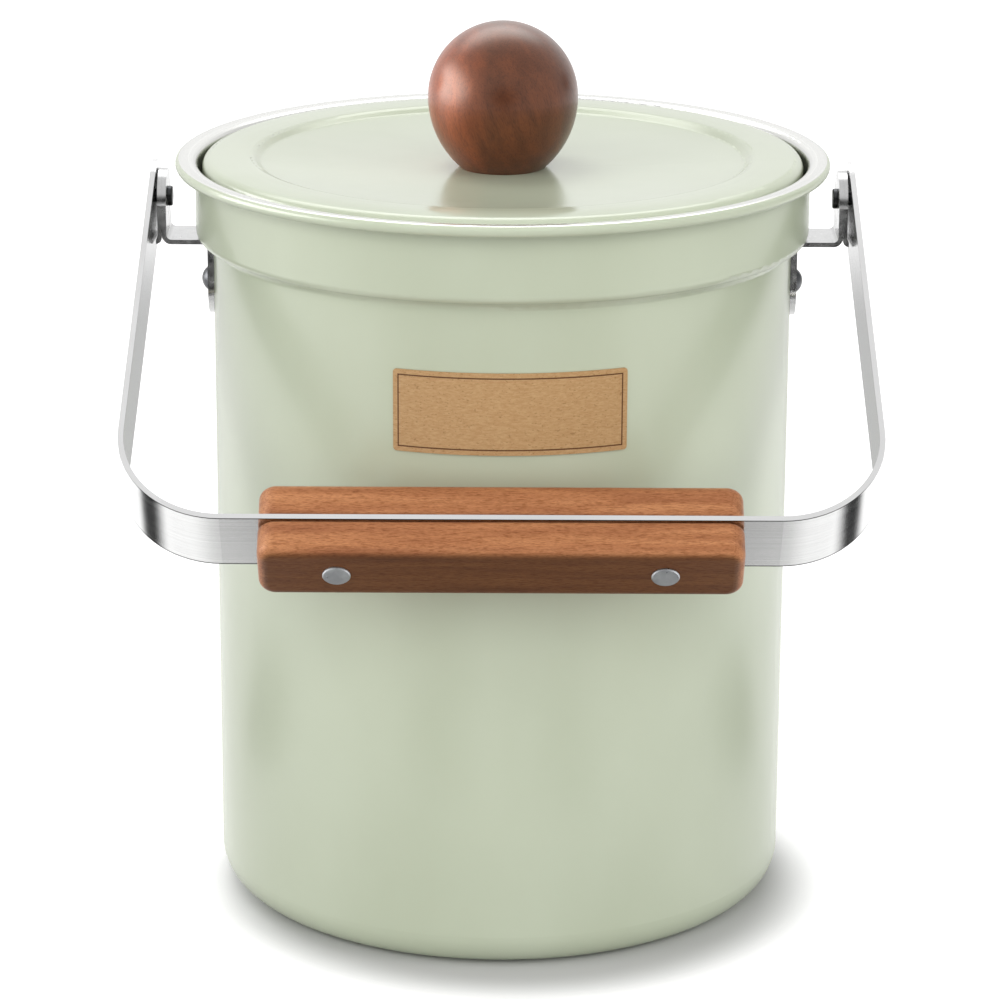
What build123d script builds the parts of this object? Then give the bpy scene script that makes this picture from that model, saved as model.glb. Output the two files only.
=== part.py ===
from build123d import *
import os
from math import sin, cos, tan, asin, atan2, radians, degrees, hypot, sqrt

os.makedirs("parts", exist_ok=True)

# Kitchen compost bin. Millimetres, Z up, base on z = 0, front towards -Y.

# Clearances
seat = 0.02              # pieces that are fixed together
run = 0.06               # radial, pivot rivet in the bracket
side_run = 0.08          # axial, pivot rivet's head behind the bracket
play = 0.06              # axial, between bail and spacer strap
bore = 0.3               # radial, screw through the lid, washer and ball
push = 0.05              # filter holder in its seal, and seal on the skirt
glue = 0.12              # under the label

# Shell: drawn steel pot with a wider collar and a rolled rim
body_r = 87.0            # outside of the straight wall
wall = 0.8               # sheet of shell and lid
foot_r = 10.5            # outside radius between base and wall
collar_r = body_r + 5.1  # outside of the collar
shoulder_z = 203.5       # outside height of the level middle of the shoulder
collar_h = 24.1          # shoulder to the top of the rim
rim_over = 5.9           # rolled rim beyond the collar
bead_r = 1.65            # outside radius of the rolled bead
curl_turn = 125.0        # degrees, made twice over
curl_end = 0.3           # straight bit at the cut edge
flange_rise = 6.0        # degrees the flange climbs outwards
flange_bend = 1.9        # centre-line radius from collar to flange
rim_r = collar_r + rim_over
rim_z = shoulder_z + collar_h

# Bracket: bent steel strip, one at each side
strap = 1.4              # sheet of the brackets
strap_w = 19.0
strap_bend_low, strap_bend_high = 1.9, 2.2
arm_drop = 0.6           # arm below the shoulder
rim_gap = 2.6            # upright clear of the rim
leg_h, leg_rivet = 24.9, 14.5       # bracket and its rivet below the shoulder
upright_h, pivot_h = 19.2, 10.8     # bracket and the pivot above the shoulder
strap_low = shoulder_z - leg_h
strap_high = shoulder_z + upright_h
bracket_rivet_z = shoulder_z - leg_rivet
pivot_z = shoulder_z + pivot_h
arm_z = shoulder_z - arm_drop - strap / 2
upright_x = rim_r + rim_gap

# Pivot rivets, countersunk outside
pivot_r, pivot_head_r, pivot_head = 2.0, 3.0, 1.3
pivot_sink_r, pivot_sink = 3.2, 1.1
pivot_inset = 0.05       # rivet face below the strip's

# Bracket rivets and the washers inside the wall
rivet_r, rivet_head_r, rivet_head, rivet_edge = 2.4, 3.7, 2.4, 0.3
rivet_tail_r, rivet_tail, rivet_tail_ease = 3.5, 1.4, 0.5
washer_r, washer_t = 5.5, 0.8
washer_gap = 0.2         # a flat washer bridges the curved wall

# Grip: two wooden halves with the strip between them
grip_len, grip_w, grip_t = 136.6, 21.6, 11.4
grip_corner = 5.0        # seen from above
grip_round, grip_ease = 3.2, 1.6
grip_rivet_in = 22.2     # rivets from the grip's ends
grip_rivet_x = grip_len / 2 - grip_rivet_in
grip_head_r, grip_head = 4.0, 0.7
grip_shank_r, grip_proud = 2.3, 0.2

# Bail: flat stainless strip
bail_t, bail_w = 1.6, 22.0
bail_lean = 2.2          # degrees the legs spread
bail_reach = 128.3       # pivot axis to the outer face under the grip
bail_corner = 30.0       # outside radius of the lower corners
rest_gap = 0.35          # grip clear of the wall, as the bail hangs

# Spacer strap: welded outside each bracket, keeps the bail off it
spacer_t = 1.2

# Lid: drops into the collar
lid_gap = 1.3            # skirt to collar
lid_r = collar_r - wall - lid_gap
panel_drop = 3.8         # middle of the sunk, slightly dished panel below the rim
panel_z = rim_z - panel_drop
lid_section = [(45.6, 0.0, 590.0), (17.0, 2.4, 2.0), (14.6, 4.1, 3.0), (6.6, 4.4, 50.0), (0.0, 3.7, 2.8)]
slot_n, slot_w, slot_h, slot_drop = 16, 14.0, 3.0, 6.3

# Silicone seal: section from its outer face and low edge
lip_gap = 0.1            # lips to collar
lip = 0.4                # lips beyond the seal's face
seal_t = 1.0             # inside the skirt
seal_base = 1.5          # under the skirt
seal_h = 6.5
lip_steps = (2.3, 4.4)   # height of each lip's ramp
seal_stand = 0.2         # over the shoulder
seal_low = shoulder_z + wall + seal_stand
seal_r = collar_r - wall - lip_gap - lip
skirt_z = seal_low + seal_base

# Filter holder: perforated tray pushed into the seal, with a pad
holder_t, holder_wall, holder_h, holder_up = 1.5, 1.3, 7.8, 0.7
holder_low = seal_low + holder_up
holder_hole_r, holder_pitch, holder_border = 3.0, 15.0, 9.0
pad_t, pad_gap, pad_ease = 6.0, 0.3, 1.0

# Knob
ball_r = 22.45
ball_up = 21.4           # centre above the panel
ball_foot = 13.2         # radius where it stands on the panel
screw_r, screw_head_r, screw_head, screw_len = 2.45, 4.7, 3.2, 14.0
cross_w, cross_t, cross_depth = 5.0, 1.2, 1.6
insert_r, insert_len = 4.5, 12.0
knob_washer_r, knob_washer_t = 9.0, 1.2

# Label, slightly right of the middle as in the photo
label_w, label_h, label_t, label_shift = 68.0, 24.1, 0.4, 2.6
label_corner = 1.0
label_drop = 20.7        # below the shoulder
label_high = shoulder_z - label_drop


# Helpers
def unit(a, b):
    d = hypot(b[0] - a[0], b[1] - a[1])
    return (b[0] - a[0]) / d, (b[1] - a[1]) / d


def side_edges(points, radii, s):
    """Edges of a filleted polyline moved s to its left."""
    us = [unit(a, b) for a, b in zip(points, points[1:])]
    ns = [(-u[1], u[0]) for u in us]
    start = (points[0][0] + ns[0][0] * s, points[0][1] + ns[0][1] * s)
    stop = (points[-1][0] + ns[-1][0] * s, points[-1][1] + ns[-1][1] * s)
    edges, last = [], start
    for i, p in enumerate(points[1:-1]):
        na, nb, ua, ub = ns[i], ns[i + 1], us[i], us[i + 1]
        k = s / (1 + na[0] * nb[0] + na[1] * nb[1])
        v = (p[0] + (na[0] + nb[0]) * k, p[1] + (na[1] + nb[1]) * k)
        turn = 1 if ua[0] * ub[1] - ua[1] * ub[0] > 0 else -1
        r = radii[i] - turn * s
        half = (1 - (ua[0] * ub[0] + ua[1] * ub[1])) / abs(ua[0] * ub[1] - ua[1] * ub[0])
        t = r * half
        a = (v[0] - ua[0] * t, v[1] - ua[1] * t)
        b = (v[0] + ub[0] * t, v[1] + ub[1] * t)
        c = (a[0] + na[0] * turn * r, a[1] + na[1] * turn * r)
        q = unit(c, v)
        if hypot(a[0] - last[0], a[1] - last[1]) > 1e-4:
            edges.append(Line(last, a))
        else:
            a = last
        edges.append(ThreePointArc(a, (c[0] + q[0] * r, c[1] + q[1] * r), b))
        last = b
    if hypot(stop[0] - last[0], stop[1] - last[1]) > 1e-4:
        edges.append(Line(last, stop))
    else:
        stop = last
    return edges, start, stop


def sheet_face(points, radii, t):
    """Constant-thickness section, in the XZ plane, along a filleted centre line."""
    left, a, b = side_edges(points, radii, t / 2)
    right, c, d = side_edges(points, radii, -t / 2)
    return Plane.XZ * make_face([*left, Line(b, d), *right, Line(a, c)])


def slab(face, width):
    """The section made a strip of that width."""
    return extrude(face, amount=width / 2, both=True)


def rod_x(r, x0, x1, z, y=0.0):
    """Cylinder along X from x0 to x1."""
    return Pos((x0 + x1) / 2, y, z) * Rot(0, 90, 0) * Cylinder(r, abs(x1 - x0))


def rod_z(r, z0, z1, x=0.0):
    """Cylinder along Z from z0 to z1."""
    return Pos(x, 0, (z0 + z1) / 2) * Cylinder(r, abs(z1 - z0))


def tube(r1, r0, z0, z1):
    return Pos(0, 0, z0) * extrude(Circle(r1) - Circle(r0), amount=z1 - z0)


def lathe(points):
    """Solid of revolution from a closed polygon of (r, z) points."""
    return revolve(Plane.XZ * make_face(Polyline(*points, close=True)), Axis.Z)


def save(shape, name):
    shape = shape.solid()
    shape.label = name
    export_step(shape, f"parts/{name}.step")


def both_sides(shape, name):
    """Write the piece built at +X as the right one and its mirror as the left one."""
    save(shape, f"right_{name}")
    save(mirror(shape, about=Plane.YZ), f"left_{name}")


# Shell with its rolled rim in one sheet
half = wall / 2
bead_line = bead_r - half
rise = radians(flange_rise)
bead_in = (rim_r - bead_r - bead_line * sin(rise), rim_z - bead_r + bead_line * cos(rise))
collar_line = collar_r - half
flange_z = bead_in[1] - (bead_in[0] - collar_line) * tan(rise)
mid_z = shoulder_z + half
step = (collar_r - body_r) / 2
path = [(0, half), (body_r - half, half), (body_r - half, mid_z), (collar_line, mid_z),
        (collar_line, flange_z)]
bends = [foot_r - half, step + half, step - half, flange_bend]
turn = radians(curl_turn)
reach = bead_line * tan(turn / 2)
here, heading = bead_in, rise
for _ in range(2):
    path.append((here[0] + reach * cos(heading), here[1] + reach * sin(heading)))
    bends.append(bead_line)
    heading -= turn
    here = (path[-1][0] + reach * cos(heading), path[-1][1] + reach * sin(heading))
path.append((here[0] + curl_end * cos(heading), here[1] + curl_end * sin(heading)))
shell = revolve(sheet_face(path, bends, wall), Axis.Z)
for s in (-1, 1):
    shell -= rod_x(rivet_r + seat, s * (body_r - 4 * wall), s * (body_r + wall), bracket_rivet_z)
save(shell, "bin_shell")

# Label
low, high, inner, outer = label_high - label_h, label_high, body_r + glue, body_r + glue + label_t
section = Plane.XZ * make_face(Polyline((inner, low), (outer, low), (outer, high), (inner, high), close=True))
arc = degrees(label_w / body_r)
label = revolve(section, Axis.Z, revolution_arc=arc)
corners = label.edges().filter_by(lambda e: abs(e.length - label_t) < label_t / 20)
label = fillet(corners, label_corner)
save(Rot(0, 0, -90 - arc / 2 + degrees(label_shift / body_r)) * label, "front_label")

# Brackets
line_x = body_r + strap / 2
upright = upright_x + strap / 2
end_r = strap_w / 2
strap_path = [(line_x, strap_low - 1), (line_x, arm_z), (upright, arm_z), (upright, strap_high + 1)]
bracket = slab(sheet_face(strap_path, [strap_bend_low, strap_bend_high], strap), strap_w)
leg_top = arm_z - strap / 2 - strap_bend_low
leg = Pos(body_r, 0, (strap_low - 1 + leg_top) / 2) * Box(strap, strap_w, leg_top - strap_low + 1)
bracket += leg           # fills the leg's back, which follows the round wall
bracket -= rod_z(body_r + seat, 0, rim_z)
x0, x1 = body_r - strap, upright_x + 3 * strap
straight = Box(x1 - x0, strap_w, strap_high - strap_low - strap_w)
outline = Pos((x0 + x1) / 2, 0, (strap_low + strap_high) / 2) * straight
for z in (strap_low + end_r, strap_high - end_r):
    outline += rod_x(end_r, x0, x1, z)
bracket &= outline
bracket -= rod_x(pivot_r + run, upright_x - 1, upright_x + strap + 1, pivot_z)
bracket -= rod_x(rivet_r + seat, body_r - 1, body_r + strap + 1, bracket_rivet_z)
both_sides(bracket, "bracket")

# Rivets that hold the brackets, with a domed head, and the washers inside the wall
washer_x = body_r - wall - washer_gap
base_x, tail_x = body_r + strap + seat, washer_x - washer_t - seat
lip_x, peak_x, cut_x = base_x + rivet_edge, base_x + rivet_head, tail_x - rivet_tail
dome = (rivet_head_r**2 + (peak_x - lip_x)**2) / (2 * (peak_x - lip_x))
tilt = asin(rivet_head_r / dome) / 2
edge = [(lip_x, rivet_head_r), (base_x, rivet_head_r), (base_x, rivet_r), (tail_x, rivet_r),
        (tail_x, rivet_tail_r), (cut_x + rivet_tail_ease, rivet_tail_r),
        (cut_x, rivet_tail_r - rivet_tail_ease), (cut_x, 0), (peak_x, 0)]
arch = ThreePointArc(edge[-1], (peak_x - dome + dome * cos(tilt), dome * sin(tilt)), edge[0])
rivet = revolve(make_face([Polyline(*edge), arch]), Axis.X)
both_sides(Pos(0, 0, bracket_rivet_z) * rivet, "bracket_rivet")
ring = rod_x(washer_r, washer_x - washer_t, washer_x, bracket_rivet_z)
ring -= rod_x(rivet_r + seat, washer_x - washer_t - 1, washer_x + 1, bracket_rivet_z)
both_sides(ring, "rivet_washer")

# Angle the bail hangs at: the grip's rounded edge stops short of the wall
grip_top = bail_reach - bail_t - grip_t - 2 * seat
out, across = grip_top + grip_round, grip_w / 2 - grip_round
bail_angle = degrees(atan2(across, out) + asin((body_r + rest_gap + grip_round) / hypot(out, across)))
hang = Pos(0, 0, pivot_z) * Rot(-bail_angle, 0, 0)

# Bail strip, built hanging straight down from the origin and then swung forward
lean = tan(radians(bail_lean))
line_off = bail_t / 2 / cos(radians(bail_lean))
bail_end = bail_w / 2
spacer_x = upright_x + strap + seat
bail_x = spacer_x + spacer_t + play + 2 * line_off + lean * bail_end
line_low = bail_reach - bail_t / 2
top = (bail_x - line_off - lean * (bail_end + 1), bail_end + 1)
corner = (bail_x - line_off + lean * line_low, -line_low)
bail_path = [(-top[0], top[1]), (-corner[0], corner[1]), corner, top]
strip = slab(sheet_face(bail_path, [bail_corner - bail_t / 2] * 2, bail_t), bail_w)
span, drop = 2 * corner[0] + 10, bail_reach + 10
ends = rod_x(bail_end, -span / 2, span / 2, 0) + Pos(0, 0, -drop / 2) * Box(span, bail_w, drop)
strip &= ends            # half-round ends about the pivot
sink = [(0, 0), (pivot_sink_r + seat, 0), (pivot_r + seat, pivot_sink), (0, pivot_sink)]
for s in (-1, 1):
    strip -= rod_x(pivot_r + seat, s * (bail_x - 2 * bail_t), s * (bail_x + 1), 0)
    strip -= Pos(s * bail_x, 0, 0) * Rot(0, -90 * s, 0) * lathe(sink)
    strip -= rod_z(grip_shank_r + seat, -bail_reach - 1, -bail_reach + bail_t + 1, s * grip_rivet_x)
save(hang * strip, "bail_strip")

# Spacer straps, curled out at the arm's height as far as the swinging bail leaves room
spacer_line = spacer_x + spacer_t / 2
deep = pivot_z - arm_z - spacer_t / 2
closest = sqrt(deep**2 - bail_end**2) if deep > bail_end else -deep
curl = bail_x - 2 * line_off + lean * closest - play - spacer_line
spacer_path = [(spacer_line, strap_high + 1), (spacer_line, arm_z), (spacer_line + curl, arm_z)]
spacer = slab(sheet_face(spacer_path, [curl], spacer_t), strap_w)
spacer &= outline
spacer -= rod_x(pivot_r + run, spacer_x - 1, spacer_x + spacer_t + 1, pivot_z)
both_sides(spacer, "spacer_strap")

# Pivot rivets, turning with the bail in the brackets' holes
head_x = upright_x - side_run
pin = rod_x(pivot_head_r, head_x - pivot_head, head_x, 0)
pin = chamfer(pin.edges().group_by(Axis.X)[0], rivet_edge)
pin += rod_x(pivot_r, head_x - pivot_head / 2, bail_x - pivot_inset, 0)
flare = [(0, pivot_inset), (pivot_sink_r - pivot_inset, pivot_inset), (pivot_r, pivot_sink), (0, pivot_sink)]
pin += Pos(bail_x, 0, 0) * Rot(0, -90, 0) * lathe(flare)
both_sides(hang * pin, "pivot_rivet")

# Grip halves and the rivets through them
outer_mid = -(bail_reach + seat + grip_t / 2)
inner_mid = -(grip_top + seat + grip_t / 2)
low_z, high_z = outer_mid - grip_t / 2 - seat, inner_mid + grip_t / 2 + seat
holes = [rod_z(grip_shank_r + seat, low_z - 1, high_z + 1, s * grip_rivet_x) for s in (-1, 1)]
wood = Box(grip_len, grip_w, grip_t)
wood = fillet(wood.edges().filter_by(Axis.Z), grip_corner)
wood = fillet(wood.faces().sort_by(Axis.Z)[0].edges(), grip_round)
wood = fillet(wood.faces().sort_by(Axis.Z)[-1].edges(), grip_ease)
save(hang * (Pos(0, 0, outer_mid) * wood - holes), "grip_outer_half")
save(hang * (Pos(0, 0, inner_mid) * Rot(180, 0, 0) * wood - holes), "grip_inner_half")
for s, side in ((-1, "left"), (1, "right")):
    long = rod_z(grip_shank_r, low_z - grip_proud, high_z + grip_proud, s * grip_rivet_x)
    for z, d in ((low_z, -1), (high_z, 1)):
        disc = rod_z(grip_head_r, z, z + d * grip_head, s * grip_rivet_x)
        disc = chamfer(disc.edges().group_by(Axis.Z)[0 if d < 0 else -1], rivet_edge)
        long += disc
    save(hang * long, f"grip_{side}_rivet")

# Lid: sunk panel, raised ring, skirt with vent slots
line_r = lid_r - half
lid_path = [(0, panel_z - half)]
lid_path += [(line_r - back, panel_z - half + up) for back, up, _ in lid_section]
lid_path += [(line_r, skirt_z)]
lid = revolve(sheet_face(lid_path, [bend for _, _, bend in lid_section], wall), Axis.Z)
lid -= rod_z(screw_r + bore, panel_z - 2 * wall, panel_z + wall)
slot = Pos(lid_r - 3 * wall, 0, panel_z - slot_drop) * Rot(0, 90, 0)
slot *= extrude(SlotOverall(slot_w, slot_h, rotation=90), amount=4 * wall)
for i in range(slot_n):
    lid -= Rot(0, 0, 360 / slot_n * (i + 0.5)) * slot
save(lid, "lid_cover")

# Silicone channel on the skirt's edge, with two lips
seal_in = lid_r - wall - push - seal_t
seal_top = seal_low + seal_h
channel = skirt_z - push
seal = [(seal_in + 0.5, seal_low), (seal_r - 0.8, seal_low), (seal_r - 0.25, seal_low + 0.25),
        (seal_r, seal_low + 0.8)]
for up in lip_steps:
    seal += [(seal_r, seal_low + up), (seal_r + lip, seal_low + up + 0.5), (seal_r, seal_low + up + 1.1)]
seal += [(seal_r - 0.1, seal_top), (lid_r + push, seal_top), (lid_r + push, channel),
         (lid_r - wall - push, channel), (lid_r - wall - push, seal_top), (seal_in, seal_top),
         (seal_in, seal_low + 0.5)]
save(lathe(seal), "lid_seal")

# Filter holder and pad
holder_r = seal_in - push
floor_z = holder_low + holder_t
holder = rod_z(holder_r, holder_low, floor_z)
rows = int(holder_r / holder_pitch) + 2
grid = []
for i in range(-rows, rows + 1):
    for j in range(-rows, rows + 1):
        x, y = holder_pitch * (i + j / 2), holder_pitch * j * sin(radians(60))
        if hypot(x, y) < holder_r - holder_border - holder_hole_r:
            grid.append(Pos(x, y, holder_low + holder_t / 2) * Cylinder(holder_hole_r, 2 * holder_t))
holder -= grid
holder += tube(holder_r, holder_r - holder_wall, holder_low, holder_low + holder_h)
save(holder, "filter_holder")
pad = rod_z(holder_r - holder_wall - pad_gap, floor_z + seat, floor_z + seat + pad_t)
save(fillet(pad.edges().filter_by(GeomType.CIRCLE), pad_ease), "filter_pad")

# Knob ball, fuller than a sphere below its middle, with a threaded insert
ball_z = panel_z + ball_up
base_z = panel_z + seat
crown = (0, ball_z + ball_r)
heel = (ball_foot - 0.5, base_z)
foot = (ball_foot, base_z + 0.5)
flank = TangentArc((ball_r, ball_z), foot, tangent=(0, -1))
knob = make_face([Line((0, base_z), crown), CenterArc((0, ball_z), ball_r, 0, 90), flank, Line(foot, heel),
                  Line(heel, (0, base_z))])
ball = revolve(Plane.XZ * knob, Axis.Z)
ball -= rod_z(insert_r + seat, panel_z, panel_z + insert_len)
ball -= rod_z(screw_r + bore, panel_z, panel_z + screw_len + 1)
save(ball, "knob_ball")
save(tube(insert_r, screw_r + push, panel_z + 2 * seat, panel_z + insert_len - seat), "knob_insert")
under = panel_z - wall - seat
head_top = under - knob_washer_t - seat
save(tube(knob_washer_r, screw_r + bore, under - knob_washer_t, under), "knob_washer")
screw = rod_z(screw_head_r, head_top - screw_head, head_top)
screw = fillet(screw.edges().filter_by(GeomType.CIRCLE).sort_by(Axis.Z)[0], 1.2)
screw += rod_z(screw_r, head_top - screw_head / 2, panel_z + screw_len)
cross = Box(cross_w, cross_t, 2 * cross_depth) + Box(cross_t, cross_w, 2 * cross_depth)
save(screw - Pos(0, 0, head_top - screw_head) * cross, "knob_screw")
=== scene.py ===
from math import atan2, cos, pi, radians, sin

import bpy
from mathutils import Matrix, Vector


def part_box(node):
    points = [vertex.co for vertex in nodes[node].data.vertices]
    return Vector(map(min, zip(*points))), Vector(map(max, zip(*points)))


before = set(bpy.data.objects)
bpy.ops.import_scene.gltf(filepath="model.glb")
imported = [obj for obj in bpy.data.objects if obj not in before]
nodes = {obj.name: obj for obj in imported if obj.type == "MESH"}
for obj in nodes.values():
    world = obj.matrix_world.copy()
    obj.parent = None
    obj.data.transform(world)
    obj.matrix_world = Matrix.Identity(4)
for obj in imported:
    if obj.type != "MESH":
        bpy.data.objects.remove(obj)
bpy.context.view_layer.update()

# Sizes in the finishes, in millimetres
MM = 0.001                                      # one of them in metres, which Blender counts in
LATHE_RINGS = 0.25                              # from one ring on the bare steel to the next
PAINTED_EDGE_LINE = 0.45                                # width of the painted dark reflection along the strip's corners
FLECK, PORE = (2.5, 0.35, 0.35), (1.2, 0.18, 0.18)      # in the beech, along the grain and across it
LINE_IN, LINE_WIDTH = 1.55, 0.4                 # from the label's edge to the middle of its printed line

PAINT_SLOPE, PAINT_START = 0.47, 0.02           # paint stops where the rolled rim turns 64 degrees up
BALL_TURN = (0, radians(70), radians(20))       # the grain of the ball leans

# Sizes and places on the stage, in metres
FLOOR_R, FLOOR_SIDES, FLOOR_DROP = 3.5, 96, 0.00005
SHADE_MIDDLE = (0.004, -0.014, 0)
SHADE_R, GLOW_R, GLOW = 0.076, 0.105, 0.82      # round the foot the glow is left out, a painted shadow over the real one, then it glows to white
BLACK = 0.01                                    # how bright a black card is
CAMERA_AT = (-0.00037, -1.1781, 0.4764)         # fitted to the outlines of the rim, the wall and the base
LOOK_DOWN, ROLL = radians(16.873), 0.0045
LENS, SENSOR = 144.0, 36.0                      # in millimetres

FACTOR, FIRST, SECOND, MIXED = 0, 6, 7, 2       # sockets of a Mix node for colours

# The bail hangs forward, so the polish and the grain on it run in a turned frame
pivot, hold = (sum(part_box(name), Vector()) / 2 for name in ("left_pivot_rivet", "grip_left_rivet"))
HANG = atan2(pivot.y - hold.y, pivot.z - hold.z)
BAIL_TURN = (-HANG, 0, 0)
ACROSS_BAIL = (0, -cos(HANG), sin(HANG))
DOWN_BAIL = (0, -sin(HANG), -cos(HANG))


def reach(name, direction):
    """Where a CAD piece starts and ends in a direction, in millimetres."""
    places = [Vector(direction).dot(vertex.co) / MM for vertex in nodes[name].data.vertices]
    return min(places), max(places)


def paint(code, strength=1.0):
    """sRGB hex to the linear colour that a socket takes. A strength over one makes a tone that brightens."""
    parts = [int(code[i:i + 2], 16) / 255 for i in (0, 2, 4)]
    return [strength * (c / 12.92 if c <= 0.04045 else ((c + 0.055) / 1.055) ** 2.4) for c in parts] + [1.0]


def grey(value):
    """A plain number, such as a roughness, as the colour that a ramp or a shader takes."""
    return (value, value, value, 1.0)


def fill(tree, node, inputs):
    """Set a node's inputs, each to a constant or to the socket that feeds it."""
    for name, value in dict(inputs).items():
        if isinstance(value, bpy.types.NodeSocket):
            tree.links.new(value, node.inputs[name])
        else:
            node.inputs[name].default_value = value


def add(tree, kind, inputs=(), out=0, stops=(), **settings):
    """One shader node with its settings and links. One of its outputs comes back."""
    node = tree.nodes.new("ShaderNode" + kind)
    for name, value in settings.items():
        setattr(node, name, value)
    fill(tree, node, inputs)
    for i, (place, colour) in enumerate(stops):
        element = node.color_ramp.elements[i] if i < 2 else node.color_ramp.elements.new(place)
        element.position, element.color = place, colour
    return node.outputs[out]


def pattern(tree, cell=(1, 1, 1), turn=(0, 0, 0)):
    """Object coordinates counted in cells of that size in millimetres, in a turned frame."""
    where = add(tree, "TexCoord", out="Object")
    size = [side * MM for side in cell]
    return add(tree, "Mapping", {"Vector": where, "Scale": size, "Rotation": turn}, vector_type="TEXTURE")


def inside(tree, place, low, high):
    """How far a place lies inside two limits, from the nearer one."""
    off = add(tree, "Math", {0: place, 1: (low + high) / 2}, operation="SUBTRACT")
    off = add(tree, "Math", {0: off}, operation="ABSOLUTE")
    return add(tree, "Math", {0: (high - low) / 2, 1: off}, operation="SUBTRACT")


def blank(name):
    """A new material and its node tree, which holds a Principled shader."""
    material = bpy.data.materials.new(name)
    material.use_nodes = True
    return material, material.node_tree


def finish(material, inputs):
    """Set the Principled shader of a material."""
    fill(material.node_tree, material.node_tree.nodes["Principled BSDF"], inputs)
    return material


# Stove enamel, sprayed on steel and baked: satin, with a faint orange peel and soft drifts of tone
def sage_tone(tree):
    drift = add(tree, "TexNoise", {"Vector": pattern(tree, (45, 45, 70)), "Scale": 1.0, "Detail": 3.0})
    return add(tree, "ValToRGB", {"Fac": drift}, stops=[(0.35, paint("C3CBB3")), (0.68, paint("C8D0B9"))])


def orange_peel(tree):
    waves = add(tree, "TexNoise", {"Vector": pattern(tree, (1.1, 1.1, 1.1)), "Scale": 1.0, "Detail": 2.0})
    return add(tree, "Bump", {"Height": waves, "Distance": 0.002 * MM})


def sage_enamel():
    enamel, tree = blank("sage stove enamel")
    patches = add(tree, "TexNoise", {"Vector": pattern(tree, (20, 20, 20)), "Scale": 1.0})
    satin = add(tree, "ValToRGB", {"Fac": patches}, stops=[(0.3, grey(0.13)), (0.7, grey(0.17))])
    return finish(enamel, {"IOR": 1.5, "Base Color": sage_tone(tree), "Roughness": satin,
                           "Normal": orange_peel(tree)})


# The pot is one drawn sheet: enamel outside and under the rim, satin stainless inside and on the rim's crest
def enamelled_pot():
    pot, tree = blank("enamel outside and satin stainless inside")
    place = pattern(tree)
    normal = add(tree, "TexCoord", out="Normal")
    level = add(tree, "VectorMath", {0: place, 1: (1, 1, 0)}, operation="MULTIPLY")
    radial = add(tree, "VectorMath", {0: level}, operation="NORMALIZE")
    outward = add(tree, "VectorMath", {0: normal, 1: radial}, out="Value", operation="DOT_PRODUCT")
    upward = add(tree, "SeparateXYZ", {0: normal}, out="Z")
    edge = add(tree, "Math", {0: upward, 1: PAINT_SLOPE, 2: PAINT_START}, operation="MULTIPLY_ADD")
    painted = add(tree, "Math", {0: outward, 1: edge}, operation="GREATER_THAN")
    radius = add(tree, "VectorMath", {0: level}, out="Value", operation="LENGTH")
    height = add(tree, "SeparateXYZ", {0: place}, out="Z")
    profile = add(tree, "CombineXYZ", {"X": radius, "Y": height})
    rings = add(tree, "TexNoise", {"Vector": profile, "Scale": 1 / LATHE_RINGS, "Detail": 3.0})
    steel = add(tree, "ValToRGB", {"Fac": rings}, stops=[(0.3, paint("C4C4C1")), (0.7, paint("D2D2CF"))])
    bare = add(tree, "ValToRGB", {"Fac": rings}, stops=[(0.3, grey(0.18)), (0.7, grey(0.28))])
    colour = {FACTOR: painted, FIRST: steel, SECOND: sage_tone(tree)}
    shine = {FACTOR: painted, FIRST: bare, SECOND: grey(0.25)}
    return finish(pot, {"IOR": 1.5,
                        "Base Color": add(tree, "Mix", colour, out=MIXED, data_type="RGBA"),
                        "Metallic": add(tree, "Math", {0: 1.0, 1: painted}, operation="SUBTRACT"),
                        "Roughness": add(tree, "Mix", shine, out=MIXED, data_type="RGBA"),
                        "Normal": orange_peel(tree)})


# Painted reflection: a fine dark line where the wide faces meet the edges, standing in for the dark that
# rounded corners would mirror
def painted_dark_edges(tree):
    across = add(tree, "VectorMath", {0: pattern(tree), 1: ACROSS_BAIL}, out="Value", operation="DOT_PRODUCT")
    inset = inside(tree, across, *reach("bail_strip", ACROSS_BAIL))
    corner = add(tree, "Math", {0: inset, 1: PAINTED_EDGE_LINE}, operation="LESS_THAN")
    normal = add(tree, "TexCoord", out="Normal")
    lean = add(tree, "VectorMath", {0: normal, 1: ACROSS_BAIL}, out="Value", operation="DOT_PRODUCT")
    wide_face = add(tree, "Math", {0: lean, 1: 0.0, 2: 0.5}, operation="COMPARE")
    return add(tree, "Math", {0: corner, 1: wide_face}, operation="MULTIPLY")


# Stainless strip, rolled and belt-polished along its length: blurred reflections with fine lines.
# The belt's real lines are finer, and these are 0.4 mm wide so that they show
def belt_polished_strip():
    strip, tree = blank("belt polished stainless strip")
    cells = pattern(tree, (60, 0.4, 60), BAIL_TURN)
    lines = add(tree, "TexNoise", {"Vector": cells, "Scale": 1.0, "Detail": 3.0, "Roughness": 0.6})
    steel = add(tree, "ValToRGB", {"Fac": lines}, stops=[(0.3, paint("D4D4D4")), (0.7, paint("E0E0E0"))])
    shine = add(tree, "ValToRGB", {"Fac": lines}, stops=[(0.3, grey(0.13)), (0.7, grey(0.2))])
    # 5C5C5C is the painted dark reflection along the corners
    colour = {FACTOR: painted_dark_edges(tree), FIRST: steel, SECOND: paint("5C5C5C")}
    return finish(strip, {"Metallic": 1.0,
                          "Base Color": add(tree, "Mix", colour, out=MIXED, data_type="RGBA"),
                          "Roughness": shine,
                          "Normal": add(tree, "Bump", {"Height": lines, "Distance": 0.002 * MM})})


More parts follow.
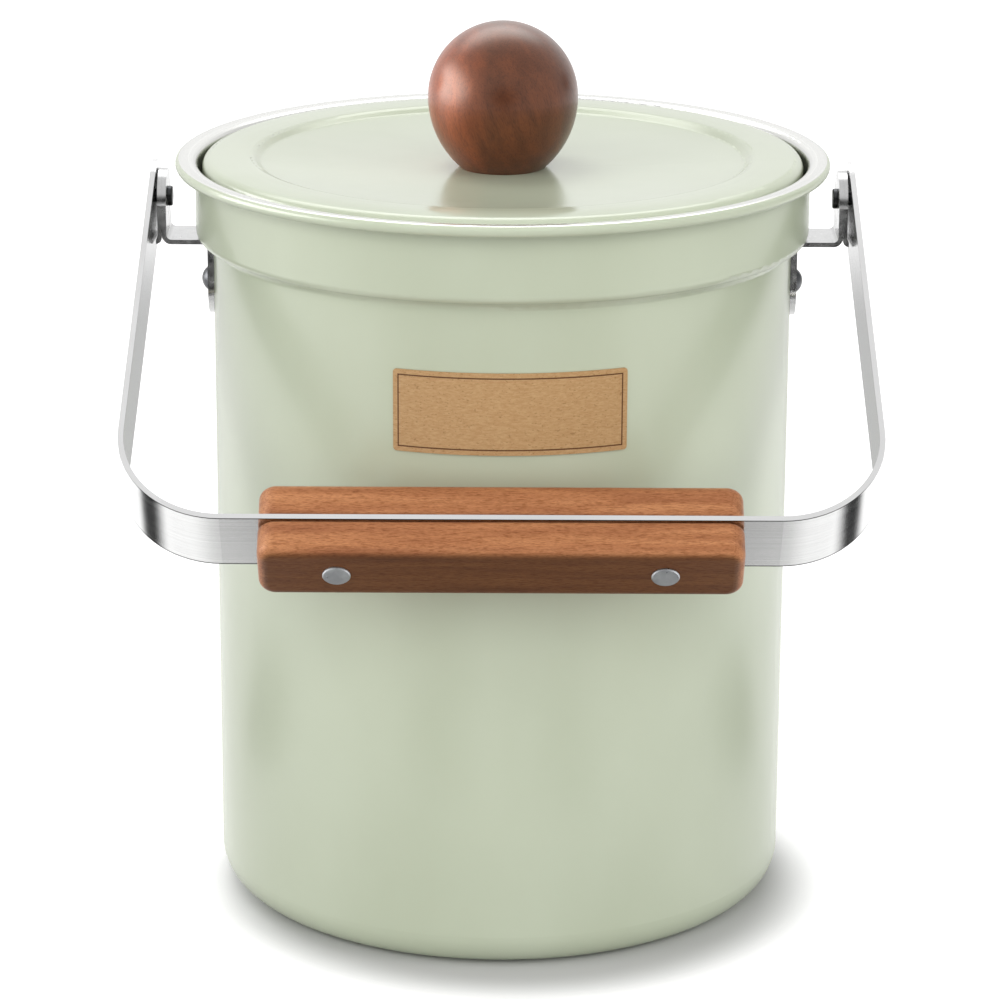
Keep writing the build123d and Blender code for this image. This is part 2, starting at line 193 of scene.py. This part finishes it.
# Stamped and bent metal, tumbled: a little duller than the strip, with faint clouds, and dents of 0.6 mm,
# which are coarser than real ones so that they show
def tumbled_metal(name, light, dark, rough):
    metal, tree = blank(name)
    clouds = add(tree, "TexNoise", {"Vector": pattern(tree, (3, 3, 3)), "Scale": 1.0, "Detail": 4.0})
    dents = add(tree, "TexNoise", {"Vector": pattern(tree, (0.6, 0.6, 0.6)), "Scale": 1.0})
    tone = add(tree, "ValToRGB", {"Fac": clouds}, stops=[(0.3, paint(dark)), (0.7, paint(light))])
    shine = add(tree, "ValToRGB", {"Fac": clouds},
                stops=[(0.3, grey(rough - 0.06)), (0.7, grey(rough + 0.08))])
    return finish(metal, {"Metallic": 1.0, "Base Color": tone, "Roughness": shine,
                          "Normal": add(tree, "Bump", {"Height": dents, "Distance": 0.003 * MM})})


# Steamed beech, sanded and oiled: warm brown, long soft grain, short darker ray flecks along it, and pores,
# which are drawn 0.18 mm wide so that they show
def oiled_beech(name, turn, grain, tones, shade, rough, varnish=0.0):
    beech, tree = blank(name)
    flow = add(tree, "TexNoise", {"Vector": pattern(tree, grain, turn), "Scale": 1.0, "Detail": 4.0,
                                  "Roughness": 0.55, "Distortion": 0.4})
    flecks = add(tree, "TexNoise", {"Vector": pattern(tree, FLECK, turn), "Scale": 1.0, "Roughness": 0.6})
    pores = add(tree, "TexNoise", {"Vector": pattern(tree, PORE, turn), "Scale": 1.0, "Detail": 1.0})
    dark, middle, light = (paint(tone) for tone in tones)
    wood = add(tree, "ValToRGB", {"Fac": flow}, stops=[(0.3, dark), (0.72, light), (0.5, middle)])
    marks = add(tree, "ValToRGB", {"Fac": flecks}, stops=[(0.36, paint("D7CBC2")), (0.5, paint("FFFFFF"))])
    specks = add(tree, "ValToRGB", {"Fac": pores},
                 stops=[(0.4, paint("EFECEA")), (0.62, paint("FFFEFD", 1.07))])
    # The shade tone is painted light and shade: a brighter left side on the ball, a darker underside on the
    # grip
    for tone in (marks, specks, shade(tree)):
        wood = add(tree, "Mix", {FACTOR: 1.0, FIRST: wood, SECOND: tone}, out=MIXED, data_type="RGBA",
                   blend_type="MULTIPLY")
    shine = add(tree, "ValToRGB", {"Fac": flecks},
                stops=[(0.3, grey(rough + 0.08)), (0.6, grey(rough - 0.03))])
    return finish(beech, {"IOR": 1.47, "Specular Tint": paint("FFD9BC"), "Coat Weight": varnish,
                          "Coat Roughness": 0.28, "Base Color": wood, "Roughness": shine,
                          "Normal": add(tree, "Bump", {"Height": flecks, "Distance": 0.03 * MM})})


# Painted light: the ball's left side is brightened in its colour, up to 3.4 times, standing in for light from
# the left
def painted_left_light(tree):
    left, right = reach("knob_ball", (1, 0, 0))
    x = add(tree, "SeparateXYZ", {0: pattern(tree)}, out="X")
    across = add(tree, "MapRange", {"Value": x, "From Min": left, "From Max": right})
    return add(tree, "ValToRGB", {"Fac": across},
               stops=[(0.02, paint("FFE6CE", 3.4)), (0.42, paint("FFFFFF"))])


# Painted shade: the grip's down-facing outer face is darkened in its colour, as if in the shade of light from
# above
def painted_underside_shade(tree):
    face = reach("grip_outer_half", DOWN_BAIL)[1]
    down = add(tree, "VectorMath", {0: pattern(tree), 1: DOWN_BAIL}, out="Value", operation="DOT_PRODUCT")
    depth = add(tree, "Math", {0: face, 1: down}, operation="SUBTRACT")
    return add(tree, "ValToRGB", {"Fac": depth}, stops=[(0.1, paint("978E7C")), (0.9, paint("FFFFFF"))])


# One thin line is printed round the label, near its edge
def printed_line(tree):
    points = [vertex.co for vertex in nodes["front_label"].data.vertices]
    face = max(point.xy.length for point in points) / MM
    turns = [atan2(point.x, -point.y) for point in points]
    place = pattern(tree)
    x, y, z = (add(tree, "SeparateXYZ", {0: place}, out=axis) for axis in "XYZ")
    front = add(tree, "Math", {0: y, 1: -1.0}, operation="MULTIPLY")
    turn = add(tree, "Math", {0: x, 1: front}, operation="ARCTAN2")
    from_sides = inside(tree, turn, min(turns), max(turns))
    from_sides = add(tree, "Math", {0: from_sides, 1: face}, operation="MULTIPLY")
    from_ends = inside(tree, z, *reach("front_label", (0, 0, 1)))
    inset = add(tree, "Math", {0: from_sides, 1: from_ends}, operation="MINIMUM")
    return add(tree, "Math", {0: inset, 1: LINE_IN, 2: LINE_WIDTH / 2}, operation="COMPARE")


# Kraft paper, uncoated: matt, with pale and dark fibres
def kraft_paper():
    label, tree = blank("uncoated kraft paper")
    fibres = add(tree, "TexNoise", {"Vector": pattern(tree, (1.6, 1.6, 0.5)), "Scale": 1.0, "Detail": 4.0,
                                    "Roughness": 0.65})
    specks = add(tree, "TexNoise", {"Vector": pattern(tree, (0.9, 0.9, 0.5)), "Scale": 1.0, "Detail": 1.0})
    paper = add(tree, "ValToRGB", {"Fac": fibres},
                stops=[(0.3, paint("B28A5C")), (0.7, paint("C6A275")), (0.5, paint("BC9668"))])
    marks = add(tree, "ValToRGB", {"Fac": specks}, stops=[(0.28, paint("DFDAD1")), (0.36, paint("FFFFFF"))])
    paper = add(tree, "Mix", {FACTOR: 1.0, FIRST: paper, SECOND: marks}, out=MIXED, data_type="RGBA",
                blend_type="MULTIPLY")
    printed = {FACTOR: printed_line(tree), FIRST: paper, SECOND: paint("5F3A22")}
    return finish(label, {"Roughness": 0.85, "IOR": 1.45,
                          "Base Color": add(tree, "Mix", printed, out=MIXED, data_type="RGBA"),
                          "Normal": add(tree, "Bump", {"Height": fibres, "Distance": 0.03 * MM})})


# Moulded silicone: milky and soft, light goes a little way in. Its skin's grain is coarser than the real one
def moulded_silicone():
    silicone, tree = blank("moulded silicone")
    clouds = add(tree, "TexNoise", {"Vector": pattern(tree, (6, 6, 6)), "Scale": 1.0})
    skin = add(tree, "TexNoise", {"Vector": pattern(tree, (0.8, 0.8, 0.8)), "Scale": 1.0})
    milky = add(tree, "ValToRGB", {"Fac": clouds}, stops=[(0.3, paint("DADAD6")), (0.7, paint("E4E4E0"))])
    return finish(silicone, {"Roughness": 0.45, "IOR": 1.41, "Subsurface Weight": 0.3,
                             "Subsurface Scale": 2 * MM, "Base Color": milky,
                             "Normal": add(tree, "Bump", {"Height": skin, "Distance": 0.01 * MM})})


# Moulded polypropylene: even grey with a spark-eroded grain, drawn coarser than the real one so that it shows
def moulded_plastic():
    plastic, tree = blank("moulded grey polypropylene")
    grain = add(tree, "TexNoise", {"Vector": pattern(tree, (0.7, 0.7, 0.7)), "Scale": 1.0})
    tone = add(tree, "ValToRGB", {"Fac": grain}, stops=[(0.3, paint("9A9C9A")), (0.7, paint("A6A8A5"))])
    return finish(plastic, {"Roughness": 0.5, "IOR": 1.49, "Base Color": tone,
                            "Normal": add(tree, "Bump", {"Height": grain, "Distance": 0.02 * MM})})


# Charcoal-filled foam: black, matt, full of small open cells
def charcoal_foam():
    foam, tree = blank("charcoal foam")
    cells = add(tree, "TexVoronoi", {"Vector": pattern(tree, (1.3, 1.3, 1.3)), "Scale": 1.0})
    tone = add(tree, "ValToRGB", {"Fac": cells}, stops=[(0.1, paint("141414")), (0.7, paint("323232"))])
    return finish(foam, {"Roughness": 0.95, "IOR": 1.4, "Base Color": tone,
                         "Normal": add(tree, "Bump", {"Height": cells, "Distance": 0.5 * MM})})


def dress(material, *names):
    """Give these CAD pieces a finish."""
    for name in names:
        nodes[name].data.materials.clear()
        nodes[name].data.materials.append(material)


dress(enamelled_pot(), "bin_shell")
dress(sage_enamel(), "lid_cover")
dress(kraft_paper(), "front_label")
dress(belt_polished_strip(), "bail_strip")
dress(tumbled_metal("tumbled strap steel", "C4C4C4", "B6B6B6", 0.2),
      "left_bracket", "right_bracket", "left_spacer_strap", "right_spacer_strap")
dress(tumbled_metal("blackened rivet steel", "5A5B5D", "38393B", 0.34),
      "left_bracket_rivet", "right_bracket_rivet", "left_pivot_rivet", "right_pivot_rivet")
dress(tumbled_metal("zinc plated steel", "D2D4D6", "B8BABD", 0.3),
      "left_rivet_washer", "right_rivet_washer", "knob_screw", "knob_washer")
dress(tumbled_metal("pressed aluminium rivet", "C6C8CA", "AEB0B4", 0.32),
      "grip_left_rivet", "grip_right_rivet")
dress(tumbled_metal("turned brass", "D9B56A", "C49C50", 0.28), "knob_insert")
# The grip's colour carries painted shade on its down-facing face
dress(oiled_beech("oiled steamed beech, grain along the grip", (HANG, 0, 0), (50, 3.5, 3.5),
                  ("9C6240", "B2764E", "C68A5E"), painted_underside_shade, 0.45), "grip_inner_half", "grip_outer_half")
# The ball's colour carries painted light on its left side
dress(oiled_beech("varnished steamed beech, turned", BALL_TURN, (30, 4, 4),
                  ("4E240E", "5A2C14", "6A361A"), painted_left_light, 0.36, varnish=0.5), "knob_ball")
dress(moulded_silicone(), "lid_seal")
dress(moulded_plastic(), "filter_holder")
dress(charcoal_foam(), "filter_pad")


def cleared(block):
    """The emptied node tree of a new material or world."""
    block.use_nodes = True
    block.node_tree.nodes.clear()
    return block.node_tree


def show(tree, kind, shader):
    """End a tree in the output that shows this shader."""
    fill(tree, tree.nodes.new("ShaderNodeOutput" + kind), {"Surface": shader})


def seen(tree):
    """One for rays of the camera, reflections and clear things, none for bounced light."""
    camera_ray, glossy, clear = (add(tree, "LightPath", out=f"Is {kind} Ray")
                                 for kind in ("Camera", "Glossy", "Transmission"))
    either = add(tree, "Math", {0: camera_ray, 1: glossy}, operation="MAXIMUM")
    return add(tree, "Math", {0: either, 1: clear}, operation="MAXIMUM")


def staged(thing):
    """Put a thing in the scene that isn't part of the bin."""
    bpy.context.scene.collection.objects.link(thing)


def aimed(thing, place, aim, front):
    """Put a thing in its place, with its front axis towards the aim."""
    thing.location = place
    thing.rotation_euler = (Vector(aim) - Vector(place)).to_track_quat(front, "Y").to_euler()


# Floor: glows white as seen, is plain grey to bounced light, and keeps the bin's shadow round its foot, where
# its glow fades out in a painted shadow offset to the front right
def white_floor():
    steps = [2 * pi * i / FLOOR_SIDES for i in range(FLOOR_SIDES)]
    mesh = bpy.data.meshes.new("floor")
    mesh.from_pydata([(FLOOR_R * cos(a), FLOOR_R * sin(a), -FLOOR_DROP) for a in steps], [],
                     [list(range(FLOOR_SIDES))])
    staged(bpy.data.objects.new("floor", mesh))
    material = bpy.data.materials.new("white floor paper")
    mesh.materials.append(material)
    tree = cleared(material)
    away = add(tree, "VectorMath", {0: add(tree, "TexCoord", out="Object"), 1: SHADE_MIDDLE}, out="Value",
               operation="DISTANCE")
    # The glow fades out round the foot: a painted shadow
    glow = add(tree, "MapRange", {"Value": away, "From Min": SHADE_R, "From Max": GLOW_R, "To Min": 0.0,
                                  "To Max": GLOW}, interpolation_type="SMOOTHSTEP")
    paper = add(tree, "BsdfDiffuse", {"Color": grey(0.6)})
    glowing = add(tree, "AddShader", {0: paper, 1: add(tree, "Emission", {"Strength": glow})})
    show(tree, "Material", add(tree, "MixShader", {0: seen(tree), 1: paper, 2: glowing}))


def white_world():
    world = bpy.data.worlds.new("studio")
    bpy.context.scene.world = world
    tree = cleared(world)
    fill_light = add(tree, "Background", {"Color": grey(1.0), "Strength": 0.5})
    white = add(tree, "Background", {"Color": grey(1.0), "Strength": 1.0})
    show(tree, "World", add(tree, "MixShader", {0: seen(tree), 1: fill_light, 2: white}))


def softbox(name, place, aim, width, height, watts):
    """A lamp that reflections don't see: the cards take its place there."""
    lamp = bpy.data.lights.new(name, "AREA")
    lamp.shape, lamp.size, lamp.size_y, lamp.energy = "RECTANGLE", width, height, watts
    box = bpy.data.objects.new(name, lamp)
    box.visible_glossy = False
    aimed(box, place, aim, "-Z")
    bpy.context.scene.collection.objects.link(box)


def card(name, place, width, height, aim=None, tone=BLACK, depth=1.0, core=0.3):
    """A feathered oval that only reflections see, black or bright, to give metal and enamel contrast.
    It faces up unless it is aimed. Depth is the share that it covers of what is behind, out to its core."""
    mesh = bpy.data.meshes.new(name)
    mesh.from_pydata([(-1, -1, 0), (1, -1, 0), (1, 1, 0), (-1, 1, 0)], [], [(0, 1, 2, 3)])
    sheet = bpy.data.objects.new(name, mesh)
    sheet.scale = (width / 2, height / 2, 1)
    aimed(sheet, place, aim or (place[0], place[1], 1), "Z")
    staged(sheet)
    material = bpy.data.materials.new(name)
    mesh.materials.append(material)
    tree = cleared(material)
    away = add(tree, "VectorMath", {0: add(tree, "TexCoord", out="Object")}, out="Value", operation="LENGTH")
    cover = add(tree, "MapRange", {"Value": away, "From Min": core, "From Max": 1.0, "To Min": depth,
                                   "To Max": 0.0}, interpolation_type="SMOOTHSTEP")
    light = add(tree, "Emission", {"Color": grey(1.0), "Strength": tone})
    show(tree, "Material", add(tree, "MixShader", {0: cover, 1: add(tree, "BsdfTransparent"), 2: light}))
    sheet.visible_camera = sheet.visible_diffuse = sheet.visible_shadow = sheet.visible_transmission = False


white_floor()
white_world()
softbox("overhead key", (-0.30, 0.30, 1.45), (0, 0, 0.1), 0.6, 0.6, 3.9)
softbox("front fill", (-0.10, -1.7, 0.80), (0, 0, 0.12), 2.2, 1.8, 15.0)
softbox("left fill", (-1.0, -0.5, 0.75), (0, 0, 0.12), 0.6, 0.6, 3.0)
softbox("right fill", (1.0, -0.5, 0.75), (0, 0, 0.12), 0.6, 0.6, 3.2)
softbox("back fill", (0.1, 1.7, 0.80), (0, 0, 0.12), 2.2, 1.6, 5.0)
card("front flag", (0, -1.1, 0.4), 1.2, 0.9, aim=(0, 0, 0.2))
card("back reflector", (0, 1.3, 0.75), 3.0, 1.1, aim=(0, 0, 0.2), tone=1.25)
card("high back box", (-0.1, 0.65, 1.15), 2.2, 1.0, aim=(0, 0, 0.25), tone=4.6)
card("left strip box", (-0.85, 0.0, 0.40), 1.5, 0.8, aim=(0, 0, 0.25), tone=9.0, core=0.4)
# Where cards on the floor overlap, they lie at slightly different heights
card("front floor flag", (0, -0.8, 0.004), 1.6, 1.1, core=0.65)
# Painted shade in reflections: this dark card darkens the floor that the strip mirrors under the grip,
# standing in for the shade there
card("painted shade under the grip", (0, -0.12, 0.002), 0.32, 0.17, depth=0.70)
card("veil under the bail", (0, -0.12, 0.001), 0.56, 0.22, depth=0.08, core=0.8)
card("back floor flag", (0, 0.55, 0.0015), 0.7, 0.8, depth=0.55)
for side, name in ((-1, "left"), (1, "right")):
    card(name + " floor flag", (side * 0.248, 0.01, 0.003), 0.18, 0.16, core=0.35)
    card(name + " front flag", (side * 0.10, -0.26, 0.0025), 0.14, 0.22, depth=0.9)
    card(name + " back flag", (side * 0.70, 0.36, 0.33), 0.30, 0.26, aim=(0, 0, 0.2), core=0.6)
    card(name + " floor reflector", (side * 0.50, 0.12, 0.002), 0.5, 1.1, tone=2.3)

# Camera at the photograph's viewing angle
lens = bpy.data.cameras.new("camera")
lens.lens, lens.sensor_width = LENS, SENSOR
lens.clip_start, lens.clip_end = 0.05, 20.0
camera = bpy.data.objects.new("camera", lens)
bpy.context.scene.collection.objects.link(camera)
camera.matrix_world = (Matrix.Translation(CAMERA_AT) @ Matrix.Rotation(pi / 2 - LOOK_DOWN, 4, "X")
                       @ Matrix.Rotation(ROLL, 4, "Z"))
bpy.context.scene.camera = camera
bpy.context.scene.view_settings.view_transform = "Standard"
